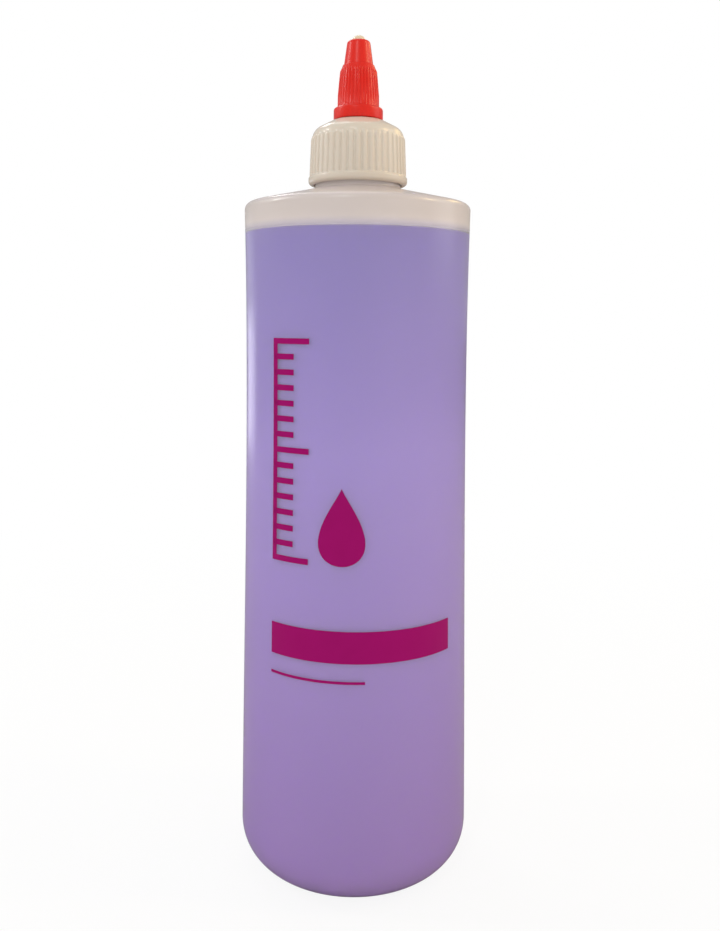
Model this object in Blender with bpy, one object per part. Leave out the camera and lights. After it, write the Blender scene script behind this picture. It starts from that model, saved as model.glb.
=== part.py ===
"""Twist-top oil bottle: a squeeze bottle with its oil, a ribbed screw cap with a nozzle, and a twist spout.

Metres, +Z up. The bottle stands on the origin, and every piece is turned about the Z axis.
"""

import math

import bmesh
import bpy
from mathutils import Matrix, Vector

# Fits between the pieces
SEAT_GAP = 0.0003
THREAD_CLEARANCE = 0.0003

# Bottle body
BODY_TOP_RADIUS = 0.0321
BODY_WAIST_RADIUS = 0.03115
BODY_BELLY_RADIUS = 0.0314
BODY_HEEL_RADIUS = 0.03165
WAIST_HEIGHT = 0.1120
BELLY_HEIGHT = 0.0600
WALL = 0.0010
HEEL_ROUND = 0.0112
FOOT_WIDTH = 0.0026
FOOT_ROUND = 0.0015
PUSH_UP_HEIGHT = 0.0035
PUSH_UP_TOP_RADIUS = 0.0100
PUSH_UP_ROUND = 0.0040
SHOULDER_SLOPE_DEG = 13.0
SHOULDER_ROUND = 0.0020

# Bottle neck
NECK_FOOT_HEIGHT = 0.1887
NECK_HEIGHT = 0.0147
NECK_RADIUS = 0.0107
NECK_WALL = 0.0015
NECK_THREAD_DEPTH = 0.0011
NECK_RING_RADIUS = 0.0122
NECK_RING_HEIGHT = 0.0021
NECK_FILLET = 0.0008
LIP_ROUND = 0.0005

# Oil
HEADSPACE = 0.0127

# Liner ring in the cap
LINER_THICKNESS = 0.0010
LINER_OVERHANG = 0.0004

# Screw cap
SKIRT_GAP = 0.00125
SKIRT_WALL = 0.0009
SKIRT_DRAFT = 0.00045
BEAD_WALL = 0.0015
BEAD_LIP = 0.0006
BEAD_FLARE = 0.0006
BEAD_ROUND = 0.0006
BEAD_FOOT_ROUND = 0.0011
MOUTH_CLEARANCE = 0.0004
MOUTH_RELIEF = 0.0006
LIP_LAND = 0.0030
DECK_CROWN = 0.00325
DECK_WALL = 0.0013
DECK_SLOPE_DEG = 28.0
DECK_ROUND = 0.0036
DECK_LEDGE = 0.00045
CAP_RIBS = 44
CAP_RIB_DEPTH = 0.00035
CAP_RIB_DROP = 0.0044
CAP_RIB_FADE = 0.0008

# Nozzle and sealing pin on the cap
NOZZLE_RADIUS = 0.0038
NOZZLE_WALL = 0.0008
NOZZLE_HEADROOM = 0.0012
NOZZLE_TOP_WALL = 0.0012
NOZZLE_ROUND = 0.0004
PIN_RADIUS = 0.0019
PIN_PROUD = 0.00155
PIN_DOME = 0.0016
PORTS = 3
PORT_ANGLE_DEG = 80.0
PORT_MARGIN = 0.0001

# Twist spout
COLLAR_RADIUS = 0.00705
COLLAR_HEIGHT = 0.0035
COLLAR_ROUND = 0.0008
GRIP_FOOT_RADIUS = 0.0062
GRIP_TOP_RADIUS = 0.0053
GRIP_HEIGHT = 0.0122
GRIP_LEDGE = 0.0003
GRIP_SHOULDER = 0.0015
GRIP_ROUND = 0.0030
SPOUT_RIBS = 36
SPOUT_RIB_DEPTH = 0.00025
SPOUT_RIB_FADE = 0.0004
TIP_FOOT_RADIUS = 0.0042
TIP_TOP_RADIUS = 0.00325
TIP_HEIGHT = 0.00705
TIP_ROUND = 0.0008
TIP_BORE_RADIUS = 0.0029
ORIFICE_LAND = 0.0018
ORIFICE_CLEARANCE = 0.0003
SPOUT_THREAD_DEPTH = 0.00040
SPOUT_THREAD_CLEARANCE = 0.00015
BORE_CROWN = 0.0037
GROOVE_LIP = 0.0008

# Seal ring in the spout's groove
SEAL_WIDTH = 0.0009
SEAL_HEIGHT = 0.0012

# Facets
BODY_STEPS = 48
RING_STEPS = 40
ARC_SAGITTA = 0.00006
SIDE_CHORDS = 6
PORT_CHORDS = 5

# Sizes that follow from those above
SHOULDER_RISE = math.tan(math.radians(SHOULDER_SLOPE_DEG))
DECK_RISE = math.tan(math.radians(DECK_SLOPE_DEG))
NECK_BORE = NECK_RADIUS - NECK_WALL
LIP_HEIGHT = NECK_FOOT_HEIGHT + NECK_HEIGHT
RING_TOP = NECK_FOOT_HEIGHT + NECK_RING_HEIGHT
CAP_FOOT = NECK_FOOT_HEIGHT + SKIRT_GAP
CAP_BORE = NECK_RADIUS + NECK_THREAD_DEPTH + THREAD_CLEARANCE
LINER_RADIUS = NECK_RADIUS + LINER_OVERHANG
LINER_BORE = NECK_BORE + SEAT_GAP
LINER_FOOT = LIP_HEIGHT + SEAT_GAP - CAP_FOOT
CAP_SEAT = LINER_FOOT + LINER_THICKNESS + SEAT_GAP
CAP_CROWN = CAP_SEAT + DECK_CROWN
NOZZLE_BORE = NOZZLE_RADIUS - NOZZLE_WALL
SPOUT_FOOT = CAP_CROWN + SEAT_GAP
SPOUT_BORE = NOZZLE_RADIUS + SPOUT_THREAD_DEPTH + SPOUT_THREAD_CLEARANCE
GRIP_TOP = COLLAR_HEIGHT + GRIP_HEIGHT
SPOUT_HEIGHT = GRIP_TOP + TIP_HEIGHT
SPOUT_BORE_TOP = GRIP_TOP - BORE_CROWN
ORIFICE_RADIUS = PIN_RADIUS + ORIFICE_CLEARANCE
NOZZLE_TOP = SPOUT_FOOT + SPOUT_BORE_TOP - NOZZLE_HEADROOM
PIN_TOP = SPOUT_FOOT + SPOUT_HEIGHT + PIN_PROUD
SEAL_FOOT = GROOVE_LIP + SEAT_GAP
SEAL_BORE = NOZZLE_RADIUS + SEAT_GAP
GROOVE_RADIUS = SEAL_BORE + SEAL_WIDTH + SEAT_GAP


def rounded(corners, closed=False):
    """Outline points through (radius, height) corners, each turned by an arc where it has a third value."""
    points = []
    last = len(corners) - 1
    for i, corner in enumerate(corners):
        here = Vector(corner[:2])
        fillet = corner[2] if len(corner) == 3 else 0.0
        if not fillet or (not closed and i in (0, last)):
            points.append(here)
            continue
        back = (Vector(corners[i - 1][:2]) - here).normalized()
        ahead = (Vector(corners[(i + 1) % len(corners)][:2]) - here).normalized()
        half = back.angle(ahead) / 2
        centre = here + (back + ahead).normalized() * fillet / math.sin(half)
        arm = here + back * fillet / math.tan(half) - centre
        sweep = math.pi - 2 * half
        chords = math.ceil(sweep / (2 * math.acos(1 - ARC_SAGITTA / fillet)))
        step = -math.copysign(sweep / chords, back.cross(ahead))
        for k in range(chords + 1):
            points.append(centre + Matrix.Rotation(step * k, 2) @ arm)
    return points


def shoulder_height(radius, inset):
    """Height of the sloping shoulder at a radius, on a surface that lies inset below its outside."""
    slope = math.radians(SHOULDER_SLOPE_DEG)
    return NECK_FOOT_HEIGHT - (radius - NECK_RING_RADIUS) * SHOULDER_RISE - inset / math.cos(slope)


def body_radius(height):
    """Radius of the body's outside, a shallow curve through the heel, belly, waist and shoulder."""
    knots = (
        (0, BODY_HEEL_RADIUS),
        (BELLY_HEIGHT, BODY_BELLY_RADIUS),
        (WAIST_HEIGHT, BODY_WAIST_RADIUS),
        (shoulder_height(BODY_TOP_RADIUS, 0), BODY_TOP_RADIUS),
    )
    radius = 0
    for here, size in knots:
        for other, _ in knots:
            if other != here:
                size *= (height - other) / (here - other)
        radius += size
    return radius


def body_corners(neck, inset):
    """Corners from the neck's foot down to the middle of the base, on a surface inset from the outside."""
    edge = BODY_TOP_RADIUS - inset
    edge_height = shoulder_height(edge, inset)
    corners = [
        (neck, shoulder_height(neck, inset), NECK_FILLET),
        (edge, edge_height, SHOULDER_ROUND - inset),
    ]
    for k in range(1, SIDE_CHORDS):
        height = edge_height * (1 - k / SIDE_CHORDS)
        corners.append((body_radius(height) - inset, height))
    foot = BODY_HEEL_RADIUS - HEEL_ROUND - FOOT_WIDTH
    corners += [
        (BODY_HEEL_RADIUS - inset, inset, HEEL_ROUND - inset),
        (foot, inset, FOOT_ROUND),
        (PUSH_UP_TOP_RADIUS, PUSH_UP_HEIGHT + inset, PUSH_UP_ROUND),
        (0, PUSH_UP_HEIGHT + inset),
    ]
    return corners


def below(outline, level):
    """The stretch of a falling outline under a level, with its first point on the level."""
    for i, (upper, lower) in enumerate(zip(outline, outline[1:])):
        if upper.y > level >= lower.y:
            share = (upper.y - level) / (upper.y - lower.y)
            return [upper.lerp(lower, share)] + outline[i + 1 :]
    raise ValueError("the level lies outside the outline")


def material(name, colour, roughness, alpha=1.0):
    """A Principled material of one colour."""
    made = bpy.data.materials.new(name)
    made.use_nodes = True
    shader = made.node_tree.nodes["Principled BSDF"]
    shader.inputs["Base Color"].default_value = (*colour, 1)
    shader.inputs["Roughness"].default_value = roughness
    shader.inputs["Metallic"].default_value = 0
    shader.inputs["Alpha"].default_value = alpha
    return made


def add_object(name, mesh, finish, parent=None, height=0.0):
    """Links a mesh as a named piece, on the axis at a height over its parent."""
    piece = bpy.data.objects.new(name, mesh)
    bpy.context.collection.objects.link(piece)
    piece.parent = parent
    piece.location.z = height
    if finish:
        mesh.materials.append(finish)
    return piece


def add_axis(name, height, parent=None):
    """An empty on the axis that a moving piece turns about and rises along."""
    axis = bpy.data.objects.new(name, None)
    bpy.context.collection.objects.link(axis)
    axis.parent = parent
    axis.location.z = height
    return axis


def turn(name, outline, steps, finish, closed=False, parent=None, height=0.0):
    """A plain turned piece: a Screw modifier spins the outline, which runs down its outer side."""
    edges = [(i, i + 1) for i in range(len(outline) - 1)]
    if closed:
        edges.append((len(outline) - 1, 0))
    mesh = bpy.data.meshes.new(name)
    mesh.from_pydata([(radius, 0, level) for radius, level in outline], edges, [])
    piece = add_object(name, mesh, finish, parent, height)
    screw = piece.modifiers.new("turn", "SCREW")
    screw.steps = steps
    screw.render_steps = steps
    screw.use_merge_vertices = True
    screw.merge_threshold = 0.00001
    screw.use_smooth_shade = True
    return piece


def add_ring(shape, radius, height, ribs, depth):
    """One loop of corners: one for each rib or, where ribs have a depth, those of their roots and crests."""
    per_rib = 4 if depth else 1
    count = ribs * per_rib
    corners = []
    for k in range(count):
        out = radius + depth if k % per_rib in (2, 3) else radius
        angle = math.tau * k / count
        corners.append(shape.verts.new((out * math.cos(angle), out * math.sin(angle), height)))
    return corners


def stretch(loop, k, count):
    """The corners of a loop along the k-th of its count equal parts, both ends included."""
    ratio = len(loop) // count
    return [loop[(k * ratio + step) % len(loop)] for step in range(ratio + 1)]


def stitch(shape, upper, lower):
    """Faces between two loops, of which one may have several corners for each of the other's."""
    count = min(len(upper), len(lower))
    for k in range(count):
        top = stretch(upper, k, count)
        foot = stretch(lower, k, count)
        for here, after in zip(foot, foot[1:]):
            shape.faces.new((top[0], here, after))
        for here, after in zip(top, top[1:]):
            shape.faces.new((foot[-1], after, here))


def rib_depth(level, foot, end, fade, depth):
    """How far ribs stand out at a level: full from their foot, and running out below their end."""
    if level < foot or level >= end:
        return 0.0
    return depth * min(1.0, (end - level) / fade)


def ribbed_turn(name, outline, ribs, depth_at, finish, closed=False, parent=None, height=0.0):
    """A turned piece with ribs on its outside: a loop for each outline point, stitched in order."""
    shape = bmesh.new()
    rings = []
    for i, (radius, level) in enumerate(outline):
        rings.append(add_ring(shape, radius, level, ribs, depth_at(i, level)))
    for upper, lower in zip(rings, rings[1:]):
        stitch(shape, upper, lower)
    if closed:
        stitch(shape, rings[-1], rings[0])
    else:
        shape.faces.new(rings[0])
        shape.faces.new(reversed(rings[-1]))
    mesh = bpy.data.meshes.new(name)
    shape.to_mesh(mesh)
    shape.free()
    mesh.shade_smooth()
    mesh.set_sharp_from_angle(angle=math.radians(35))
    return add_object(name, mesh, finish, parent, height)


def make_bottle():
    """The bottle: its inside up to the lip, then the neck, shoulder, body and pushed-up base."""
    inside = [(NECK_BORE, LIP_HEIGHT)] + body_corners(NECK_BORE, WALL)
    outside = [
        (NECK_BORE + LIP_ROUND, LIP_HEIGHT),
        (NECK_RADIUS, LIP_HEIGHT, LIP_ROUND),
        (NECK_RADIUS, RING_TOP),
        (NECK_RING_RADIUS, RING_TOP, LIP_ROUND),
    ] + body_corners(NECK_RING_RADIUS, 0)
    outline = rounded(inside)[::-1] + rounded(outside)
    natural = material("natural_hdpe", (0.80, 0.77, 0.76), 0.35, 0.55)
    return turn("bottle", outline, BODY_STEPS, natural)


def make_oil():
    """The oil, level under its headspace and as wide as the bottle's inside."""
    inset = WALL + SEAT_GAP
    surface = below(rounded(body_corners(NECK_BORE - SEAT_GAP, inset)), NECK_FOOT_HEIGHT - HEADSPACE)
    outline = [Vector((0, surface[0].y))] + surface
    lilac = material("lilac_oil", (0.36, 0.27, 0.62), 0.10, 0.85)
    return turn("oil_fill", outline, BODY_STEPS, lilac)


def make_liner(axis):
    """The foam ring that seals the neck's lip to the cap."""
    top = LINER_FOOT + LINER_THICKNESS
    outline = [(LINER_BORE, top), (LINER_RADIUS, top), (LINER_RADIUS, LINER_FOOT), (LINER_BORE, LINER_FOOT)]
    foam = material("pe_foam", (0.86, 0.85, 0.82), 0.70)
    return turn("cap_liner", outline, RING_STEPS, foam, True, axis)


def cap_outline():
    """The cap's outline: from the pin's end down its outside, then up its inside into the nozzle."""
    relief = RING_TOP + MOUTH_RELIEF - CAP_FOOT
    bead = relief + BEAD_LIP
    flare = bead + BEAD_FLARE
    mouth = NECK_RING_RADIUS + MOUTH_CLEARANCE
    side = CAP_BORE + SKIRT_WALL
    side_foot = side + SKIRT_DRAFT
    deck_edge = COLLAR_RADIUS + DECK_LEDGE
    pocket = LINER_RADIUS + SEAT_GAP
    pocket_foot = LIP_HEIGHT - CAP_FOOT
    under_crown = CAP_CROWN - DECK_WALL
    corners = [
        (PIN_RADIUS - PIN_DOME, PIN_TOP),
        (PIN_RADIUS, PIN_TOP, PIN_DOME),
        (PIN_RADIUS, NOZZLE_TOP),
        (NOZZLE_RADIUS, NOZZLE_TOP, NOZZLE_ROUND),
        (NOZZLE_RADIUS, CAP_CROWN),
        (deck_edge, CAP_CROWN),
        (side, CAP_CROWN - (side - deck_edge) * DECK_RISE, DECK_ROUND),
        (side_foot, flare),
        (mouth + BEAD_WALL, bead, BEAD_ROUND),
        (mouth + BEAD_WALL, 0, BEAD_FOOT_ROUND),
        (mouth, 0),
        (mouth, relief),
        (CAP_BORE, relief + mouth - CAP_BORE),
        (CAP_BORE, pocket_foot - LIP_LAND),
        (pocket, pocket_foot),
        (pocket, CAP_SEAT),
        (NECK_BORE, CAP_SEAT),
        (NECK_BORE - (under_crown - CAP_SEAT) / DECK_RISE, under_crown),
        (NOZZLE_BORE, under_crown),
        (NOZZLE_BORE, NOZZLE_TOP - NOZZLE_TOP_WALL),
    ]
    return rounded(corners), side_foot, flare


def make_ports(axis):
    """The cutter for the slots round the pin's foot, which let the oil out of the nozzle."""
    inner = PIN_RADIUS + PORT_MARGIN
    outer = NOZZLE_BORE - PORT_MARGIN
    foot = NOZZLE_TOP - 2 * NOZZLE_TOP_WALL
    shape = bmesh.new()
    for port in range(PORTS):
        start = math.tau * port / PORTS
        arc = [start + math.radians(PORT_ANGLE_DEG) * k / PORT_CHORDS for k in range(PORT_CHORDS + 1)]
        points = [(inner, angle) for angle in arc] + [(outer, angle) for angle in reversed(arc)]
        corners = [shape.verts.new((r * math.cos(a), r * math.sin(a), foot)) for r, a in points]
        floor = shape.faces.new(corners)
        grown = bmesh.ops.extrude_face_region(shape, geom=[floor])["geom"]
        raised = [part for part in grown if isinstance(part, bmesh.types.BMVert)]
        bmesh.ops.translate(shape, verts=raised, vec=(0, 0, 3 * NOZZLE_TOP_WALL))
    bmesh.ops.recalc_face_normals(shape, faces=shape.faces)
    mesh = bpy.data.meshes.new("ports_cutter")
    shape.to_mesh(mesh)
    shape.free()
    cutter = add_object("ports_cutter", mesh, None, axis)
    cutter.hide_render = True
    cutter.display_type = "WIRE"
    return cutter


def make_cap(axis):
    """The cap: ribbed skirt over a bead, sloping deck, nozzle with ports, and the spout's pin."""
    outline, side_foot, flare = cap_outline()
    rib_end = CAP_CROWN - CAP_RIB_DROP
    rim = next(i for i, point in enumerate(outline) if point.x > side_foot)

    def depth_at(i, level):
        return rib_depth(level, flare, rib_end, CAP_RIB_FADE, CAP_RIB_DEPTH) if i < rim else 0.0

    white = material("white_polypropylene", (0.74, 0.69, 0.62), 0.30)
    cap = ribbed_turn("base_cap", outline, CAP_RIBS, depth_at, white, parent=axis)
    cut = cap.modifiers.new("ports", "BOOLEAN")
    cut.operation = "DIFFERENCE"
    cut.solver = "EXACT"
    cut.object = make_ports(axis)
    return cap


def make_seal(axis):
    """The soft ring in the spout's groove, which wipes the nozzle."""
    outer = SEAL_BORE + SEAL_WIDTH
    top = SEAL_FOOT + SEAL_HEIGHT
    outline = [(SEAL_BORE, top), (outer, top), (outer, SEAL_FOOT), (SEAL_BORE, SEAL_FOOT)]
    soft = material("soft_pe", (0.80, 0.79, 0.76), 0.45)
    return turn("spout_seal", outline, RING_STEPS, soft, True, axis)


def make_spout(axis):
    """The spout: smooth tip over a ribbed grip and a collar, bored to run on the nozzle."""
    land_foot = SPOUT_HEIGHT - ORIFICE_LAND
    groove_top = SEAL_FOOT + SEAL_HEIGHT + SEAT_GAP
    root_foot = GRIP_FOOT_RADIUS - SPOUT_RIB_DEPTH
    root_top = GRIP_TOP_RADIUS - SPOUT_RIB_DEPTH
    ledge = TIP_FOOT_RADIUS + GRIP_LEDGE
    shoulder = GRIP_TOP - GRIP_SHOULDER
    corners = [
        (ORIFICE_RADIUS, SPOUT_HEIGHT),
        (TIP_TOP_RADIUS, SPOUT_HEIGHT, TIP_ROUND),
        (TIP_FOOT_RADIUS, GRIP_TOP),
        (ledge, GRIP_TOP),
        (root_top, shoulder, GRIP_ROUND),
        (root_foot, COLLAR_HEIGHT),
        (COLLAR_RADIUS, COLLAR_HEIGHT, COLLAR_ROUND),
        (COLLAR_RADIUS, 0),
        (SPOUT_BORE, 0),
        (SPOUT_BORE, GROOVE_LIP),
        (GROOVE_RADIUS, GROOVE_LIP),
        (GROOVE_RADIUS, groove_top),
        (SPOUT_BORE, groove_top),
        (SPOUT_BORE, SPOUT_BORE_TOP),
        (TIP_BORE_RADIUS, SPOUT_BORE_TOP + SPOUT_BORE - TIP_BORE_RADIUS),
        (TIP_BORE_RADIUS, land_foot - (TIP_BORE_RADIUS - ORIFICE_RADIUS)),
        (ORIFICE_RADIUS, land_foot),
    ]
    outline = rounded(corners, True)
    rim = next(i for i, point in enumerate(outline) if point.x > GRIP_FOOT_RADIUS)

    def depth_at(i, level):
        return rib_depth(level, COLLAR_HEIGHT, shoulder, SPOUT_RIB_FADE, SPOUT_RIB_DEPTH) if i < rim else 0.0

    red = material("red_polyethylene", (0.72, 0.035, 0.02), 0.30)
    return ribbed_turn("twist_spout", outline, SPOUT_RIBS, depth_at, red, True, axis)


def main():
    """Clears the scene and makes the bottle, its oil, and the closure on the two axes it turns about."""
    for old in list(bpy.data.objects):
        bpy.data.objects.remove(old, do_unlink=True)
    make_bottle()
    make_oil()
    cap_axis = add_axis("cap_axis", CAP_FOOT)
    make_liner(cap_axis)
    make_cap(cap_axis)
    spout_axis = add_axis("spout_axis", SPOUT_FOOT, cap_axis)
    make_seal(spout_axis)
    make_spout(spout_axis)


main()
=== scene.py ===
"""Dresses the twist-top oil bottle: its shell, oil and print, the ribbed screw cap and the twist spout.

Sizes are in metres, in the row frame: the bottle stands on the origin, its axis is Z
and its front faces -Y.
"""

import logging
import math
from collections.abc import Mapping, Sequence
from dataclasses import dataclass, field, fields
from enum import Enum
from functools import partial
from typing import Any

import bpy
from mathutils import Matrix, Vector

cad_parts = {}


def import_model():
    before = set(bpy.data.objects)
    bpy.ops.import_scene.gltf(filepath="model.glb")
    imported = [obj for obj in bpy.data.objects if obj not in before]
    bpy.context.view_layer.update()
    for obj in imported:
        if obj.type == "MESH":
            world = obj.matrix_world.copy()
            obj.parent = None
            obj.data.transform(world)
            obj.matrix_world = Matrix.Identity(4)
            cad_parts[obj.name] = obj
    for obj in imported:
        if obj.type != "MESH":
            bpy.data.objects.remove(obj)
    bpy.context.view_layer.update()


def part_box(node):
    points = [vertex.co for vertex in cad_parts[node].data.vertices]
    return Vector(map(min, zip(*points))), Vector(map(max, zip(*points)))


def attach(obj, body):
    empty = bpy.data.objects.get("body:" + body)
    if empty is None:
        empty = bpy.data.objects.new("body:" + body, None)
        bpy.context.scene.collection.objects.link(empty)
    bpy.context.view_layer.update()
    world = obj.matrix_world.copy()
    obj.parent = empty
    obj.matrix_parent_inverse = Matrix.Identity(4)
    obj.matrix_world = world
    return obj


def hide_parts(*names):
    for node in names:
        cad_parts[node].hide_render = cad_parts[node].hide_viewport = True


MM = 0.001
ARC_SAGITTA = 0.004 * MM
MERGE_DISTANCE = 0.001 * MM
SHARP_ANGLE = math.radians(42)
SPOUT_LEAD = 6 * MM
SPOUT_STARTS = 2
LOG = logging.getLogger("oil_bottle")

# The kinds of node that come up most often.
MATH = "ShaderNodeMath"
INTEGER_MATH = "FunctionNodeIntegerMath"
VECTOR_MATH = "ShaderNodeVectorMath"
MAP_RANGE = "ShaderNodeMapRange"
COMBINE = "ShaderNodeCombineXYZ"
SEPARATE = "ShaderNodeSeparateXYZ"

# What a node's input can be linked from: an output, or a node that stands for its first output.
Source = bpy.types.NodeSocket | bpy.types.Node


class Body(Enum):
    """The bodies of the frame that pieces ride on."""

    BOTTLE = "bottle"
    LINER = "liner"
    CAP = "cap"
    SEAL = "seal"
    SPOUT = "spout"


class Slot(Enum):
    """The record's material slots."""

    HDPE = "natural_hdpe"
    OIL = "lilac_oil"
    FOAM = "liner_foam"
    CAP = "white_cap"
    SEAL = "soft_seal"
    SPOUT = "red_spout"


def linear(colour: str) -> tuple[float, float, float, float]:
    """Turns a colour from sRGB hex to linear light.

    Args:
        colour: Six hex digits after a hash sign.

    Returns:
        Red, green, blue and an alpha of 1.
    """
    shares = [int(colour[i : i + 2], 16) / 255 for i in (1, 3, 5)]
    light = [s / 12.92 if s <= 0.04045 else ((s + 0.055) / 1.055) ** 2.4 for s in shares]
    return (*light, 1.0)


def feed(tree: bpy.types.NodeTree, node: bpy.types.Node, inputs: Mapping[str | int, Any]) -> None:
    """Puts a value or a link on inputs of a node.

    Args:
        tree: The tree that the node is in.
        node: The node.
        inputs: For a socket's name or number, its value or the source that it is linked from.
            A list holds the sources, in order, of a socket that takes several links.
    """
    for key, value in inputs.items():
        for source in value if isinstance(value, list) else [value]:
            if isinstance(source, bpy.types.Node):
                source = source.outputs[0]
            if isinstance(source, bpy.types.NodeSocket):
                tree.links.new(source, node.inputs[key])
            else:
                node.inputs[key].default_value = source


def add_node(
    tree: bpy.types.NodeTree,
    kind: str,
    *values: Any,
    inputs: Mapping[str | int, Any] | None = None,
    **settings: Any,
) -> bpy.types.Node:
    """Adds a node with its settings, and a value or a link on each input that is given.

    Args:
        tree: The shader or geometry tree that it goes into.
        kind: The node's type.
        *values: What its first inputs get, in order.
        inputs: What inputs get by name or number.
        **settings: Properties of the node, such as its operation.

    Returns:
        The new node.
    """
    node = tree.nodes.new(kind)
    for name, value in settings.items():
        setattr(node, name, value)
    feed(tree, node, {**dict(enumerate(values)), **(inputs or {})})
    return node


def new_material(name: str) -> bpy.types.Material:
    """Makes a material with nodes.

    Args:
        name: The real material and how its surface was made.

    Returns:
        The material, with a plain Principled shader.
    """
    material = bpy.data.materials.new(name)
    material.use_nodes = True
    return material


def per_metre(size_mm: float) -> float:
    """The texture scale whose features are about this many millimetres wide."""
    return 1 / (size_mm * MM)


@dataclass(frozen=True)
class MouldedPlastic:
    """Injection-moulded or blown plastic: a soft gloss, faint flow clouds and a fine ripple from the tool.

    Sizes are in millimetres. A ripple under about 0.6 mm would not show in the render.
    """

    name: str
    colour: str
    cloud_colour: str
    roughness: float
    ior: float = 1.5
    roughness_spread: float = 0.05
    cloud_mm: float = 12.0
    cloud_detail: float = 2.0
    ripple_mm: float = 1.2
    ripple_detail: float = 1.0
    ripple_depth_mm: float = 0.004
    scatter: float = 0.0
    scatter_mm: float = 1.0
    scatter_reach: tuple[float, float, float] = (1.0, 0.7, 0.6)
    clearness: float = 0.0
    upper_colour: str = ""
    upper_from_mm: float = 0.0
    upper_to_mm: float = 0.0
    upper_clearness: float = 0.0
    gloss: float = 0.5

    def make(self) -> bpy.types.Material:
        """Builds the material.

        Returns:
            A material whose patterns lie on Object coordinates.
        """
        material = new_material(self.name)
        tree = material.node_tree
        add = partial(add_node, tree)
        place = add("ShaderNodeTexCoord").outputs["Object"]
        clouds, ripple = (
            add("ShaderNodeTexNoise", inputs={"Vector": place, "Scale": per_metre(size), "Detail": detail})
            for size, detail in ((self.cloud_mm, self.cloud_detail), (self.ripple_mm, self.ripple_detail))
        )
        tints = {0: clouds, 6: linear(self.colour), 7: linear(self.cloud_colour)}
        colour = add("ShaderNodeMix", inputs=tints, data_type="RGBA").outputs[2]
        clear: Source | float = self.clearness
        if self.upper_colour:
            colour, clear = self._upper(tree, place, colour)
        smoothest = self.roughness - self.roughness_spread
        dullest = self.roughness + self.roughness_spread
        looks = {
            "Base Color": colour,
            "Roughness": add(MAP_RANGE, clouds, inputs={"To Min": smoothest, "To Max": dullest}),
            "Normal": add("ShaderNodeBump", inputs={"Height": ripple, "Distance": self.ripple_depth_mm * MM}),
            "IOR": self.ior,
            "Subsurface Weight": self.scatter,
            "Subsurface Radius": self.scatter_reach,
            "Subsurface Scale": self.scatter_mm * MM,
            "Transmission Weight": clear,
            "Specular IOR Level": self.gloss,
        }
        feed(tree, tree.nodes["Principled BSDF"], looks)
        return material

    def _upper(
        self, tree: bpy.types.NodeTree, place: Source, colour: Source
    ) -> tuple[Source, Source | float]:
        """Changes the colour, and how clear the plastic is, towards the top of the piece.

        Args:
            tree: The material's tree.
            place: The Object coordinates.
            colour: The colour lower down.

        Returns:
            The colour and the clearness all over the piece.
        """
        add = partial(add_node, tree)
        height = add(SEPARATE, place).outputs["Z"]
        ends = (self.upper_from_mm * MM, self.upper_to_mm * MM)
        share = add(MAP_RANGE, height, *ends, interpolation_type="SMOOTHSTEP")
        clear: Source | float = self.clearness
        if self.upper_clearness != self.clearness:
            clear = add(MAP_RANGE, share, inputs={"To Min": self.clearness, "To Max": self.upper_clearness})
        tints = {0: share, 6: colour, 7: linear(self.upper_colour)}
        return add("ShaderNodeMix", inputs=tints, data_type="RGBA").outputs[2], clear


@dataclass(frozen=True)
class DyedOil:
    """Clear oil with a lilac dye, seen as a full body of colour, with painted shade and light along its
    height: darker near its surface and towards its foot, lightest in the middle, painted lighter at the very
    base.
    """

    name: str = "lilac_dyed_oil"
    # The stops paint shade by height, darker near the surface and towards the foot; the base stop is painted
    # light that lifts the shade where the oil stands on the floor.
    base_colour: str = "#DC9AEE"
    foot_colour: str = "#C48EDE"
    middle_colour: str = "#DBC4FF"
    top_colour: str = "#B1A1E4"
    top_mm: float = 172.0
    foot_share: float = 0.06
    middle_share: float = 0.68
    roughness: float = 0.12
    ior: float = 1.47

    def make(self) -> bpy.types.Material:
        """Builds the material.

        Returns:
            A material whose lilac is painted with shade and light from the base to the surface of the oil.
        """
        material = new_material(self.name)
        tree = material.node_tree
        add = partial(add_node, tree)
        place = add("ShaderNodeTexCoord").outputs["Object"]
        height = add(SEPARATE, place).outputs["Z"]
        # Painted shade and light by height, laid over the oil's lilac.
        painted_shade_ramp = add("ShaderNodeValToRGB", add(MAP_RANGE, height, inputs={"From Max": self.top_mm * MM}))
        stops = painted_shade_ramp.color_ramp.elements
        stops[0].color = linear(self.base_colour)
        stops[1].color = linear(self.top_colour)
        stops.new(self.foot_share).color = linear(self.foot_colour)
        stops.new(self.middle_share).color = linear(self.middle_colour)
        looks = {"Base Color": painted_shade_ramp, "Roughness": self.roughness, "IOR": self.ior}
        feed(tree, tree.nodes["Principled BSDF"], looks)
        return material


# Natural HDPE, blow-moulded: milky and see-through, with a satin skin that blurs what is behind it.
# The shoulder and the neck are thicker, because the plastic is stretched less there, and so milkier.
NATURAL_HDPE = MouldedPlastic(
    "natural_hdpe_blown",
    "#F2EEFF",
    "#F6F2FF",
    0.235,
    1.54,
    roughness_spread=0.03,
    cloud_mm=30,
    ripple_mm=4,
    clearness=0.86,
    upper_colour="#EDE2DB",
    upper_from_mm=175,
    upper_to_mm=178.6,
    upper_clearness=0.3,
    gloss=0.4,
)
# The wetted inside of the same wall: oil and plastic bend light alike, so it barely shows.
# A lilac film of oil clings to it and runs out just above the oil.
WETTED_HDPE = MouldedPlastic(
    "natural_hdpe_wetted",
    "#E6DCFA",
    "#E9E0FC",
    0.2,
    1.02,
    roughness_spread=0.03,
    cloud_mm=30,
    clearness=1.0,
    upper_colour="#FDFBFA",
    upper_from_mm=176.5,
    upper_to_mm=181.5,
    upper_clearness=1.0,
)
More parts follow.
